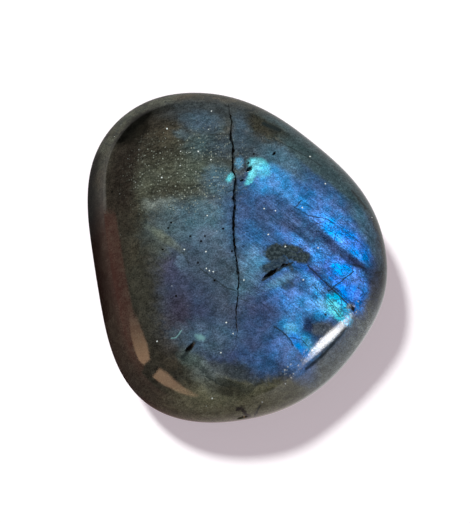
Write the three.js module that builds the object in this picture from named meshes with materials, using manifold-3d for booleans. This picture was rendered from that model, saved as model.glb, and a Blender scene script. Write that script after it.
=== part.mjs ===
// A palm stone of polished labradorite: one free-form pebble with a broad, almost flat top, a tight
// shoulder, a bevel along one side and a lapped flat underneath, on which it lies. An old fissure
// runs down the top, and a few pits and chips break the polish.
//
// Millimetres, +Z up. The origin is on the lapped flat, under the middle of the stone's box.
// +Y runs along the stone's length, and +X points to the bevelled side.
import * as THREE from 'three';
import { mergeVertices, toCreasedNormals } from 'three/addons/utils/BufferGeometryUtils.js';
import Module from 'manifold-3d';

const { degToRad } = THREE.MathUtils;

// The girdle, where the stone is widest: its middle, and its radius every 22.5 degrees from +X
const GIRDLE_MIDDLE = new THREE.Vector3(0.28, -0.47, 9);
const GIRDLE_RADII = [
  27.4, 26.3, 25.4, 26.6, 30.3, 33.9, 34.5, 30.4, 26.8, 26.9, 30.2, 31.8, 30.3, 29.1, 27.9, 27.7,
];

// The crown above the girdle, and how square its shoulder is every 45 degrees from +X
const CROWN_HEIGHT = 12;
const CROWN_POWER = 1.9;
const SHOULDER_POWERS = [5.9, 8.4, 6.6, 5.2, 4.0, 4.2, 4.6, 4.1];

// The belly under the girdle, before the flat is lapped through it
const BELLY_DEPTH = 10.5;
const BELLY_POWER = 2.2;
const BELLY_SHOULDER_POWER = 3.6;

// The bevel: which way it faces, its distance from the girdle's middle, and how crisp its ridge is
const BEVEL_TURN = degToRad(-48);
const BEVEL_TILT = degToRad(52);
const BEVEL_DISTANCE = 24.4;
const BEVEL_POWER = 30;

// The fissure along the top: the course of its groove in plan, from the far end to the near one
const FISSURE_COURSE = [
  [-1.5, 26.1],
  [-1.3, 24.1],
  [-0.8, 22.4],
  [-1.1, 19.2],
  [-0.6, 16.9],
  [-0.6, 14.6],
  [-0.7, 12.6],
  [-0.2, 11.4],
  [-0.2, 9.9],
  [-0.4, 7.8],
  [-0.3, 5.8],
  [-0.6, 2.6],
  [-0.4, -0.7],
  [0.0, -4.4],
  [0.4, -7.2],
  [0.3, -9.6],
  [-0.1, -14.0],
  [0.1, -17.9],
];
const FISSURE_HALF_WIDTH = 0.22;
const FISSURE_DEPTH = 0.6;
const FISSURE_FAR_TAPER = 8; // the length over which it comes to its full measures at the far end
const FISSURE_NEAR_TAPER = 18; // and at the near end
const FISSURE_TIP = 0.2; // the share of its measures that is left at its tips
const FISSURE_LIFT = 0.4; // how far its cutter reaches above the polish

// Pits in the top, as [x, y, length, width, depth, turn in degrees]
const PITS = [
  [6.0, -6.6, 3.8, 0.9, 0.7, 32], // the long slit near the stone's middle
  [8.4, -5.1, 1.8, 0.5, 0.4, 25], // and its thin end
  [2.3, 12.7, 1.9, 0.7, 0.6, 42], // beside the fissure
  [1.0, 10.6, 0.9, 0.5, 0.4, 50],
  [6.8, 15.7, 1.2, 0.6, 0.4, 32],
  [-8.2, -19.7, 2.4, 0.9, 0.6, 42], // at the near left
  [15.7, -13.5, 0.5, 0.5, 0.3, 0],
  [20.6, -11.9, 1.4, 0.7, 0.35, -45], // a bruise at the end of the bevel's ridge
];

// Chips in the wall, as [turn about Z in degrees, height, length, width, depth, roll in degrees]
const CHIPS = [
  [-88.6, 10.6, 2.4, 1.4, 0.45, 20],
  [-5.3, 10.6, 1.7, 0.4, 0.3, 55],
];

const SKIN_DETAIL = 17; // extra splits of each icosahedron edge
const PIT_DETAIL = 1;
const RIM_REACH = 0.5; // skin points this near the flat's height are slid onto its rim
const FACING_REACH = 0.02; // how far apart the samples are that tell which way the wall faces
const SEARCH_STEPS = 48;
const FAR_OUT = 100; // beyond the stone in every direction
const SLIVER = 0.01; // facets thinner than this are merged away
const CREASE = degToRad(25); // sharper edges than this are not shaded smooth
const TINY_ANGLE = 1e-9;

// A smooth ring through evenly spaced values: trigonometric interpolation of an even number of them
function aroundRing(values, angle) {
  const count = values.length;
  return values.reduce((sum, value, index) => {
    const away = angle - (2 * Math.PI * index) / count;
    const onValue = Math.abs(Math.sin(away / 2)) < TINY_ANGLE;
    const share = onValue ? 1 : Math.sin((count * away) / 2) / (count * Math.tan(away / 2));
    return sum + share * value;
  }, 0);
}

const bevelNormal = new THREE.Vector3(
  Math.sin(BEVEL_TILT) * Math.cos(BEVEL_TURN),
  Math.sin(BEVEL_TILT) * Math.sin(BEVEL_TURN),
  Math.cos(BEVEL_TILT),
);

// Below 1 inside the stone, 1 on its skin and above 1 outside. Superellipse sections make the crown
// and the belly, and a last term the bevel.
function fullness(place) {
  const offset = place.clone().sub(GIRDLE_MIDDLE);
  const angle = Math.atan2(offset.y, offset.x);
  const outward = Math.hypot(offset.x, offset.y) / aroundRing(GIRDLE_RADII, angle);
  const bevel = Math.max(0, offset.dot(bevelNormal)) / BEVEL_DISTANCE;
  const section =
    offset.z >= 0
      ? outward ** aroundRing(SHOULDER_POWERS, angle) + (offset.z / CROWN_HEIGHT) ** CROWN_POWER
      : outward ** BELLY_SHOULDER_POWER + (-offset.z / BELLY_DEPTH) ** BELLY_POWER;
  return section + bevel ** BEVEL_POWER;
}

// Where the skin is between a point inside and one outside, by halving
function meetSkin(inside, outside) {
  const low = inside.clone();
  const high = outside.clone();
  const middle = new THREE.Vector3();
  for (let step = 0; step < SEARCH_STEPS; step += 1) {
    middle.addVectors(low, high).multiplyScalar(0.5);
    (fullness(middle) > 1 ? high : low).copy(middle);
  }
  return middle;
}

// The skin above a point of the plan
function topOver(x, y) {
  return meetSkin(new THREE.Vector3(x, y, GIRDLE_MIDDLE.z), new THREE.Vector3(x, y, FAR_OUT));
}

// The skin at a turn about the girdle's middle and a height, found by going straight out
function skinAcross(turn, height) {
  const middle = GIRDLE_MIDDLE.clone().setZ(height);
  const outward = new THREE.Vector3(Math.cos(turn), Math.sin(turn), 0);
  return meetSkin(middle, middle.clone().addScaledVector(outward, FAR_OUT));
}

// The skin of the wall at a turn and a height, with the way that it faces
function wallAt(turn, height) {
  const place = skinAcross(turn, height);
  const along = skinAcross(turn + FACING_REACH, height).sub(place);
  const up = skinAcross(turn, height + FACING_REACH).sub(place);
  const facing = new THREE.Vector3().crossVectors(along, up).normalize();
  return { place, facing };
}

function withSharedVertices(geometry) {
  geometry.deleteAttribute('normal');
  geometry.deleteAttribute('uv');
  return mergeVertices(geometry);
}

// The polished skin: an icosphere, stretched to the stone's measures and pushed out to its skin
function skinGeometry() {
  const geometry = withSharedVertices(new THREE.IcosahedronGeometry(1, SKIN_DETAIL));
  const positions = geometry.getAttribute('position');
  const ray = new THREE.Vector3();
  for (let index = 0; index < positions.count; index += 1) {
    ray.fromBufferAttribute(positions, index);
    const turn = Math.atan2(ray.y, ray.x);
    const radius = aroundRing(GIRDLE_RADII, turn);
    ray.multiply(new THREE.Vector3(radius, radius, ray.z > 0 ? CROWN_HEIGHT : BELLY_DEPTH));
    const place = meetSkin(GIRDLE_MIDDLE, ray.setLength(FAR_OUT).add(GIRDLE_MIDDLE));
    if (Math.abs(place.z) < RIM_REACH) {
      place.copy(skinAcross(turn, 0));
    }
    positions.setXYZ(index, place.x, place.y, place.z);
  }
  return geometry;
}

// The fissure's cutter: a three-sided blade whose lower edge runs along the bottom of the groove
function fissureGeometry() {
  const course = FISSURE_COURSE.map(([x, y]) => new THREE.Vector2(x, y));
  const corners = course.flatMap((place, index) => {
    const before = course[Math.max(0, index - 1)];
    const after = course[Math.min(course.length - 1, index + 1)];
    const across = new THREE.Vector3(after.y - before.y, before.x - after.x, 0).normalize();
    const fromFar = place.distanceTo(course[0]) / FISSURE_FAR_TAPER;
    const fromNear = place.distanceTo(course.at(-1)) / FISSURE_NEAR_TAPER;
    const share = THREE.MathUtils.lerp(FISSURE_TIP, 1, Math.min(1, fromFar, fromNear));
    const depth = share * FISSURE_DEPTH;
    const spread = share * FISSURE_HALF_WIDTH * ((depth + FISSURE_LIFT) / depth);
    const skin = topOver(place.x, place.y);
    const lifted = skin.clone().setZ(skin.z + FISSURE_LIFT);
    return [
      lifted.clone().addScaledVector(across, spread),
      lifted.clone().addScaledVector(across, -spread),
      skin.setZ(skin.z - depth),
    ];
  });
  const sides = 3;
  const last = corners.length - sides;
  const faces = [0, 1, 2, last, last + 2, last + 1];
  for (let ring = 0; ring < last; ring += sides) {
    for (let side = 0; side < sides; side += 1) {
      const here = ring + side;
      const next = ring + ((side + 1) % sides);
      faces.push(here, here + sides, next, next, here + sides, next + sides);
    }
  }
  return new THREE.BufferGeometry().setFromPoints(corners).setIndex(faces);
}

// A rough blob for cutting a pit, with its length along +X and its depth along Z
function blobGeometry(length, width, depth) {
  return new THREE.IcosahedronGeometry(1, PIT_DETAIL).scale(length / 2, width / 2, depth);
}

function pitGeometry([x, y, length, width, depth, turn]) {
  const skin = topOver(x, y);
  return blobGeometry(length, width, depth).rotateZ(degToRad(turn)).translate(skin.x, skin.y, skin.z);
}

function chipGeometry([turn, height, length, width, depth, roll]) {
  const { place, facing } = wallAt(degToRad(turn), height);
  const swing = new THREE.Quaternion().setFromUnitVectors(new THREE.Vector3(0, 0, 1), facing);
  return blobGeometry(length, width, depth)
    .rotateZ(degToRad(roll))
    .applyQuaternion(swing)
    .translate(place.x, place.y, place.z);
}

// The block below the table's plane, which laps the flat
function lapGeometry() {
  return new THREE.BoxGeometry(2 * FAR_OUT, 2 * FAR_OUT, FAR_OUT).translate(0, 0, -FAR_OUT / 2);
}

const wasm = await Module();
wasm.setup();

function toSolid(geometry) {
  const shared = withSharedVertices(geometry);
  return new wasm.Manifold(
    new wasm.Mesh({
      numProp: 3,
      vertProperties: shared.getAttribute('position').array,
      triVerts: new Uint32Array(shared.index.array),
    }),
  );
}

function toGeometry(solid) {
  const { vertProperties, triVerts } = solid.getMesh();
  const geometry = new THREE.BufferGeometry();
  geometry.setAttribute('position', new THREE.BufferAttribute(new Float32Array(vertProperties), 3));
  geometry.setIndex(new THREE.BufferAttribute(new Uint32Array(triVerts), 1));
  return toCreasedNormals(geometry, CREASE);
}

function stoneMesh() {
  const cutters = [lapGeometry(), fissureGeometry(), ...PITS.map(pitGeometry), ...CHIPS.map(chipGeometry)];
  const whole = toSolid(skinGeometry());
  const cut = cutters.map(toSolid).reduce((rest, cutter) => rest.subtract(cutter), whole);
  const polished = new THREE.MeshStandardMaterial({ color: 0x3c5468, roughness: 0.12, metalness: 0 });
  const mesh = new THREE.Mesh(toGeometry(cut.simplify(SLIVER)), polished);
  mesh.name = 'stone';
  return mesh;
}

const labradorite = new THREE.Group();
labradorite.name = 'labradorite';
labradorite.add(stoneMesh());

export default labradorite;
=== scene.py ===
"""A palm stone of polished labradorite, lying on a white table under soft studio light.

The stone is rebuilt from the measures of the solid model, fine enough for its fissure, pits and
chips, and lies in the same frame. Its markings are worked out in the stone's own coordinates.
"""

import math
from types import SimpleNamespace

import bmesh
import bpy
import numpy as np
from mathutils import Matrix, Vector, noise


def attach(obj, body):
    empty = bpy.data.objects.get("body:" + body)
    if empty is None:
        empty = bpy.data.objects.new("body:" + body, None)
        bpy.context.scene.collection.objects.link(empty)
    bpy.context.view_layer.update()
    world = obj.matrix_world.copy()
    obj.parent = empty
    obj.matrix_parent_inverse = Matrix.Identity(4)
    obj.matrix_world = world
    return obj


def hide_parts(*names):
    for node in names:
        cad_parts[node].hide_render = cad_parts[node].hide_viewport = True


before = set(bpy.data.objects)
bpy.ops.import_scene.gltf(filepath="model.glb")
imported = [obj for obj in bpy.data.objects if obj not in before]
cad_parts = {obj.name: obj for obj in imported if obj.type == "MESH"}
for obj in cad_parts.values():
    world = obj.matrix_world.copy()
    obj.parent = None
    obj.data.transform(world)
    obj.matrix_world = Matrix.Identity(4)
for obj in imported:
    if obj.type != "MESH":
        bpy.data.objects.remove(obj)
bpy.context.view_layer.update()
NODE = "stone"
MM = 0.001

# The stone's measures in millimetres, as in the solid model
GIRDLE_MIDDLE = np.array([0.28, -0.47, 9.0])
GIRDLE_RADII = [
    27.4, 26.3, 25.4, 26.6, 30.3, 33.9, 34.5, 30.4, 26.8, 26.9, 30.2, 31.8, 30.3, 29.1, 27.9, 27.7,
]
CROWN_HEIGHT = 12.0
CROWN_POWER = 1.9
SHOULDER_POWERS = [5.9, 8.4, 6.6, 5.2, 4.0, 4.2, 4.6, 4.1]
BELLY_DEPTH = 10.5
BELLY_POWER = 2.2
BELLY_SHOULDER_POWER = 3.6
BEVEL_TURN = math.radians(-48)
BEVEL_TILT = math.radians(52)
BEVEL_DISTANCE = 24.4
BEVEL_POWER = 30

# The fissure's course over the top, and its groove
FISSURE_COURSE = [
    (-1.5, 26.1), (-1.3, 24.1), (-0.8, 22.4), (-1.1, 19.2), (-0.6, 16.9), (-0.6, 14.6), (-0.7, 12.6),
    (-0.2, 11.4), (-0.2, 9.9), (-0.4, 7.8), (-0.3, 5.8), (-0.6, 2.6), (-0.4, -0.7), (0.0, -4.4),
    (0.4, -7.2), (0.3, -9.6), (-0.1, -14.0), (0.1, -17.9),
]
FISSURE_HALF_WIDTH = 0.22
FISSURE_DEPTH = 0.6
FISSURE_FAR_TAPER = 8.0
FISSURE_NEAR_TAPER = 18.0
FISSURE_TIP = 0.2
FISSURE_FLOOR = 0.3  # how much of its width is at full depth, as a share

# Pits in the top, as x, y, length, width, depth and turn in degrees
PITS = [
    (6.0, -6.6, 3.8, 0.9, 0.7, 32),
    (8.4, -5.1, 1.8, 0.5, 0.4, 25),
    (2.3, 12.7, 1.9, 0.7, 0.6, 42),
    (1.0, 10.6, 0.9, 0.5, 0.4, 50),
    (6.8, 15.7, 1.2, 0.6, 0.4, 32),
    (-8.2, -19.7, 2.4, 0.9, 0.6, 42),
    (15.7, -13.5, 0.5, 0.5, 0.3, 0),
    (20.6, -11.9, 1.4, 0.7, 0.35, -45),
]
PIT_FLOOR = 0.4  # how much of a pit or chip is at full depth, as a share

# Chips in the wall, as turn about the girdle's middle in degrees, height, length, width, depth and
# roll in degrees
CHIPS = [
    (-88.6, 10.6, 2.4, 1.4, 0.45, 20),
    (-5.3, 10.6, 1.7, 0.4, 0.3, 55),
]
CHIP_DULLNESS = 0.22  # how broken the polish is in a chip
WALL_STEPS = 400  # how finely the wall is searched for a height
FACING_REACH = 0.01  # how far apart places are taken to tell which way the wall faces

# How finely the skin is meshed: an icosphere, then split again near each hollow
SKIN_SUBDIVISIONS = 7
REFINE_REACHES = (1.1, 0.7, 0.5)
SEARCH_STEPS = 40
SEARCH_REACH = 2.0  # how far out the skin is sought, as a share of the stone's measures
TINY_ANGLE = 1e-9
RIM_ROUNDING = 0.6
WAVE = 0.004  # the polish's slow waves, as a share of the distance from the middle
WAVE_LENGTH = 11.0
NOISE_SEED = 3
RAGGED = 0.2  # how far the hollows' edges wander
RAGGED_LENGTH = 0.7
FISSURE_UNEVENNESS = 0.8  # how much its width varies, as a share
FISSURE_UNEVEN_LENGTH = 1.6

BEVEL_LEVEL = math.sin(BEVEL_TILT)
BEVEL_NORMAL = np.array(
    [BEVEL_LEVEL * math.cos(BEVEL_TURN), BEVEL_LEVEL * math.sin(BEVEL_TURN), math.cos(BEVEL_TILT)]
)


def around_ring(values, angle):
    """A smooth ring through evenly spaced values: trigonometric interpolation."""
    count = len(values)
    away = angle[:, None] - np.arange(count) * (2 * np.pi / count)
    on_value = np.abs(np.sin(away / 2)) < TINY_ANGLE
    away = np.where(on_value, 1.0, away)
    share = np.sin(count * away / 2) / (count * np.tan(away / 2))
    return np.where(on_value, 1.0, share) @ np.array(values)


def skin(directions):
    """Where rays from the girdle's middle leave the stone, in millimetres."""
    angle = np.arctan2(directions[:, 1], directions[:, 0])
    level = np.hypot(directions[:, 0], directions[:, 1])
    rise = np.abs(directions[:, 2])
    upper = directions[:, 2] >= 0
    radius = around_ring(GIRDLE_RADII, angle)
    height = np.where(upper, CROWN_HEIGHT, BELLY_DEPTH)
    level_power = np.where(upper, around_ring(SHOULDER_POWERS, angle), BELLY_SHOULDER_POWER)
    rise_power = np.where(upper, CROWN_POWER, BELLY_POWER)
    rays = directions * np.stack([radius, radius, height], axis=1)
    bevel = np.maximum(rays @ BEVEL_NORMAL, 0) / BEVEL_DISTANCE
    low = np.zeros(len(rays))
    high = np.full(len(rays), SEARCH_REACH)
    for _ in range(SEARCH_STEPS):
        middle = (low + high) / 2
        full = (middle * level) ** level_power + (middle * rise) ** rise_power
        full += (middle * bevel) ** BEVEL_POWER
        low = np.where(full > 1, low, middle)
        high = np.where(full > 1, middle, high)
    return rays * low[:, None] + GIRDLE_MIDDLE


def noise_at(places, length):
    """Smooth noise of three parts, each from about -1 to 1, at places in millimetres."""
    return np.array([noise.noise_vector(Vector(place) / length) for place in places])


def smooth_step(low, value):
    """0 up to a low value, and rising smoothly from there to 1 at a value of 1."""
    share = np.clip((value - low) / (1 - low), 0, 1)
    return share * share * (3 - 2 * share)


def wall_at(turn, height):
    """The place on the upper wall at a turn about the girdle's middle, and a height."""
    rises = np.linspace(0, 1, WALL_STEPS)
    level = np.ones(WALL_STEPS)
    places = skin(np.stack([level * math.cos(turn), level * math.sin(turn), rises], axis=1))
    return np.array([np.interp(height, places[:, 2], places[:, axis]) for axis in range(3)])


def wall_frame(turn, height):
    """A place on the upper wall, with the directions there: level, up the wall and facing out."""
    place = wall_at(turn, height)
    level = wall_at(turn + FACING_REACH, height) - place
    rising = wall_at(turn, height + FACING_REACH) - place
    level /= np.linalg.norm(level)
    rising /= np.linalg.norm(rising)
    return place, level, rising, np.cross(level, rising)


def fissure_distance(plan):
    """How far points of the plan are from the fissure, and the share of its full measures there."""
    course = np.array(FISSURE_COURSE)
    steps = np.diff(course, axis=0)
    lengths = np.linalg.norm(steps, axis=1)
    starts = np.concatenate([[0], np.cumsum(lengths)])
    best = np.full(len(plan), np.inf)
    along = np.zeros(len(plan))
    for start, step, length, before in zip(course, steps, lengths, starts):
        share = np.clip((plan - start) @ step / length**2, 0, 1)
        distance = np.linalg.norm(plan - start - share[:, None] * step, axis=1)
        closer = distance < best
        best = np.where(closer, distance, best)
        along = np.where(closer, before + share * length, along)
    taper = np.minimum(along / FISSURE_FAR_TAPER, (starts[-1] - along) / FISSURE_NEAR_TAPER)
    return best, FISSURE_TIP + (1 - FISSURE_TIP) * np.clip(taper, 0, 1)


def pit_radius(plan, pit):
    """0 at a pit's middle and 1 at its edge."""
    x, y, length, width, _, turn = pit
    turn = math.radians(turn)
    offset = plan - np.array([x, y])
    lengthwise = offset @ np.array([math.cos(turn), math.sin(turn)])
    crosswise = offset @ np.array([-math.sin(turn), math.cos(turn)])
    return np.hypot(lengthwise / (length / 2), crosswise / (width / 2))


def near_hollow(places, reach):
    """Which places are within reach of the fissure, a pit or a chip."""
    plan = places[:, :2]
    near = fissure_distance(plan)[0] < reach
    for x, y, length, *_ in PITS:
        near |= np.linalg.norm(plan - np.array([x, y]), axis=1) < length / 2 + reach
    near &= places[:, 2] > GIRDLE_MIDDLE[2]
    for turn, height, length, *_ in CHIPS:
        away = places - wall_at(math.radians(turn), height)
        near |= np.linalg.norm(away, axis=1) < length / 2 + reach
    return near


def sink_hollows(places):
    """Sinks the fissure and the pits into the skin, and tells how broken the polish is there."""
    near = near_hollow(places, 2 * RAGGED + FISSURE_HALF_WIDTH)
    plan = places[near, :2] + RAGGED * noise_at(places[near], RAGGED_LENGTH)[:, :2]
    distance, share = fissure_distance(plan)
    wider = 1 + FISSURE_UNEVENNESS * noise_at(places[near], FISSURE_UNEVEN_LENGTH)[:, 2]
    relative = distance / (share * wider * FISSURE_HALF_WIDTH)
    open_share = 1 - smooth_step(FISSURE_FLOOR, relative)
    depth = open_share * share * FISSURE_DEPTH
    for pit in PITS:
        pit_share = 1 - smooth_step(PIT_FLOOR, pit_radius(plan, pit))
        depth = np.maximum(depth, pit_share * pit[4])
        open_share = np.maximum(open_share, pit_share)
    hollow = np.zeros(len(places))
    hollow[near] = open_share
    places[near, 2] -= depth
    return hollow


def sink_chips(places, hollow):
    """Sinks the chips into the wall, and adds them to how broken the polish is."""
    for turn, height, length, width, depth, roll in CHIPS:
        place, level, rising, facing = wall_frame(math.radians(turn), height)
        roll = math.radians(roll)
        offset = places - place
        lengthwise = offset @ (math.cos(roll) * level + math.sin(roll) * rising) / (length / 2)
        crosswise = offset @ (math.cos(roll) * rising - math.sin(roll) * level) / (width / 2)
        radius = np.hypot(np.hypot(lengthwise, crosswise), offset @ facing)
        share = 1 - smooth_step(PIT_FLOOR, radius)
        places -= depth * share[:, None] * facing
        hollow[:] = np.maximum(hollow, CHIP_DULLNESS * share)


def unit_directions(bm):
    for vert in bm.verts:
        vert.co.normalize()
    return np.array([vert.co for vert in bm.verts])


def split_near_hollows(bm, reach):
    near = near_hollow(skin(unit_directions(bm)), reach)
    bm.verts.index_update()
    edges = [edge for edge in bm.edges if any(near[vert.index] for vert in edge.verts)]
    bmesh.ops.subdivide_edges(bm, edges=edges, cuts=1, use_grid_fill=True)
    bmesh.ops.triangulate(bm, faces=[face for face in bm.faces if len(face.verts) > 3])


def skin_mesh():
    """The stone's skin as an icosphere, finer near the hollows, and its vertices' directions."""
    bm = bmesh.new()
    bmesh.ops.create_icosphere(bm, subdivisions=SKIN_SUBDIVISIONS, radius=1)
    for reach in REFINE_REACHES:
        split_near_hollows(bm, reach)
    return bm, unit_directions(bm)


def make_stone():
    bm, directions = skin_mesh()
    places = skin(directions)
    noise.seed_set(NOISE_SEED)
    waves = WAVE * noise_at(places, WAVE_LENGTH)[:, :1]
    places += waves * (places - GIRDLE_MIDDLE)
    hollow = sink_hollows(places)
    sink_chips(places, hollow)
    height = places[:, 2]
    rim = np.clip(height + RIM_ROUNDING, 0, 2 * RIM_ROUNDING) ** 2 / (4 * RIM_ROUNDING)
    places[:, 2] = np.where(height > RIM_ROUNDING, height, rim)
    for vert, place in zip(bm.verts, places):
        vert.co = Vector(place) * MM
    for face in bm.faces:
        face.smooth = True
    mesh = bpy.data.meshes.new("polished_stone")
    bm.to_mesh(mesh)
    bm.free()
    mesh.attributes.new("hollow", "FLOAT", "POINT").data.foreach_set("value", hollow)
    return add_object("polished_stone", mesh, labradorite())


def linear(colour):
    """A colour written in display values from 0 to 255, as the shader wants it."""
    parts = [part / 255 for part in colour]
    parts = [part / 12.92 if part <= 0.04045 else ((part + 0.055) / 1.055) ** 2.4 for part in parts]
    return (*parts, 1.0)


# Which sockets of a mix node hold the two colours, and which the mixed one
MIX_COLOURS = (6, 7)
MIX_RESULT = 2


class Graph:
    """Adds nodes to a tree and links them, so that a material reads as a formula."""

    def __init__(self, tree):
        self.tree = tree

    def add(self, kind, settings=None, **inputs):
        node = self.tree.nodes.new("ShaderNode" + kind)
        for name, value in (settings or {}).items():
            setattr(node, name, value)
        for name, value in inputs.items():
            self.feed(node.inputs[name.replace("_", " ")], value)
        return node

    def feed(self, socket, value):
        if isinstance(value, bpy.types.NodeSocket):
            self.tree.links.new(value, socket)
        else:
            socket.default_value = value

    def math(self, operation, first, second=0.0):
        node = self.add("Math", {"operation": operation})
        self.feed(node.inputs[0], first)
        self.feed(node.inputs[1], second)
        return node.outputs[0]

    def times(self, first, second):
        return self.math("MULTIPLY", first, second)

    def plus(self, first, second):
        return self.math("ADD", first, second)

    def vector(self, operation, first, second=None):
        node = self.add("VectorMath", {"operation": operation})
        self.feed(node.inputs[0], first)
        if second is not None:
            self.feed(node.inputs[1], second)
        return node.outputs[1 if operation in {"LENGTH", "DISTANCE", "DOT_PRODUCT"} else 0]

    def scaled(self, vector, scale):
        node = self.add("VectorMath", {"operation": "SCALE"}, Vector=vector, Scale=scale)
        return node.outputs[0]

    def turned(self, place, angle):
        """Places turned so that a direction at this angle about Z comes to lie along X."""
        node = self.add(
            "VectorRotate", {"rotation_type": "Z_AXIS"}, Vector=place, Angle=-angle
        )
        return node.outputs[0]

    def step(self, value, low, high, start=0.0, end=1.0):
        node = self.add(
            "MapRange",
            {"interpolation_type": "SMOOTHSTEP"},
            Value=value,
            From_Min=low,
            From_Max=high,
            To_Min=start,
            To_Max=end,
        )
        return node.outputs[0]

    def blend(self, share, first, second):
        node = self.add("Mix", {"data_type": "RGBA"})
        self.feed(node.inputs[0], share)
        self.feed(node.inputs[MIX_COLOURS[0]], first)
        self.feed(node.inputs[MIX_COLOURS[1]], second)
        return node.outputs[MIX_RESULT]

    def lay(self, share, colour, name):
        """A colour with a share of a named one laid over it."""
        return self.blend(share, colour, linear(COLOURS[name]))

    def noise(self, place, scale, detail, roughness):
        return self.add(
            "TexNoise", Vector=place, Scale=scale, Detail=detail, Roughness=roughness
        )

    def group(self, tree, **inputs):
        return self.add("Group", {"node_tree": tree}, **inputs).outputs[0]


def new_group(name, vectors, numbers):
    """An empty group that gives a share, as its graph, its inputs and its output."""
    tree = bpy.data.node_groups.new(name, "ShaderNodeTree")
    for kind, labels in (("NodeSocketVector", vectors), ("NodeSocketFloat", numbers)):
        for label in labels:
            tree.interface.new_socket(label, in_out="INPUT", socket_type=kind)
    tree.interface.new_socket("Share", in_out="OUTPUT", socket_type="NodeSocketFloat")
    graph = Graph(tree)
    given = tree.nodes.new("NodeGroupInput").outputs
    end = tree.nodes.new("NodeGroupOutput").inputs[0]
    return graph, given, end


def patch_group():
    """The share of a soft-edged ellipse of the plan at a place.

    Along and Across point along its axes, each as long as one over the ellipse's half size there.
    """
    vectors = ("Place", "Centre", "Along", "Across")
    graph, given, end = new_group("Soft patch", vectors, ("Softness", "Strength"))
    offset = graph.vector("SUBTRACT", given["Place"], given["Centre"])
    lengthwise = graph.vector("DOT_PRODUCT", offset, given["Along"])
    crosswise = graph.vector("DOT_PRODUCT", offset, given["Across"])
    square = graph.plus(graph.times(lengthwise, lengthwise), graph.times(crosswise, crosswise))
    radius = graph.math("SQRT", square)
    inner = graph.math("SUBTRACT", 1.0, given["Softness"])
    outer = graph.plus(1.0, given["Softness"])
    share = graph.step(radius, inner, outer, 1.0, 0.0)
    graph.feed(end, graph.times(share, given["Strength"]))
    return graph.tree


def line_group():
    """The share of a thin line of the plan, between two ends, at a place."""
    vectors = ("Place", "Start", "Run")
    graph, given, end = new_group("Thin line", vectors, ("Half width", "Strength"))
    offset = graph.vector("SUBTRACT", given["Place"], given["Start"])
    offset = graph.vector("MULTIPLY", offset, (1.0, 1.0, 0.0))
    run_square = graph.vector("DOT_PRODUCT", given["Run"], given["Run"])
    reach = graph.vector("DOT_PRODUCT", offset, given["Run"])
    along = graph.math("MAXIMUM", graph.math("DIVIDE", reach, run_square), 0.0)
    along = graph.math("MINIMUM", along, 1.0)
    foot = graph.scaled(given["Run"], along)
    distance = graph.vector("LENGTH", graph.vector("SUBTRACT", offset, foot))
    relative = graph.math("DIVIDE", distance, given["Half width"])
    share = graph.step(relative, LINE_CORE, LINE_EDGE, 1.0, 0.0)
    graph.feed(end, graph.times(share, given["Strength"]))
    return graph.tree


# The stone's colours, in display values from 0 to 255
COLOURS = {
    "black": (12, 12, 9),
    "brown black": (30, 26, 22),
    "char": (34, 42, 42),
    "dark olive": (48, 48, 40),
    "soot": (34, 44, 48),
    "basalt": (70, 84, 88),
    "dark umber": (44, 41, 34),
    "olive": (70, 74, 63),
    "moss": (108, 116, 98),
    "sage": (86, 104, 96),
    "sea green": (60, 78, 82),
    "ash": (74, 84, 82),
    "graphite": (54, 60, 62),
    "umber": (84, 76, 60),
    "drab": (106, 108, 86),
    "pale slate": (122, 134, 130),
    "smoke": (60, 73, 82),
    "slate": (66, 84, 98),
    "mist": (98, 118, 140),
    "plum": (56, 52, 64),
    "heather": (74, 74, 100),
    "dusk": (54, 62, 92),
    "indigo": (57, 66, 88),
    "dark slate": (56, 76, 112),
    "ink": (40, 52, 88),
    "navy": (58, 76, 120),
    "hyacinth": (100, 136, 200),
    "granite": (84, 92, 98),
    "deep blue": (44, 76, 144),
    "blue": (56, 92, 142),
    "steel": (66, 116, 188),
    "teal": (78, 106, 122),
    "deep teal": (72, 104, 124),
    "sea": (84, 130, 164),
    "sky": (70, 142, 212),
    "azure": (44, 150, 255),
    "royal": (48, 124, 232),
    "violet": (82, 142, 238),
    "cyan": (26, 194, 255),
    "pale cyan": (104, 196, 240),
    "ice": (94, 230, 255),
    "turquoise": (104, 200, 216),
    "mint": (138, 194, 192),
    "dust": (150, 160, 146),
    # The colour of the painted glints
    "speck": (225, 236, 232),
}

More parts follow.
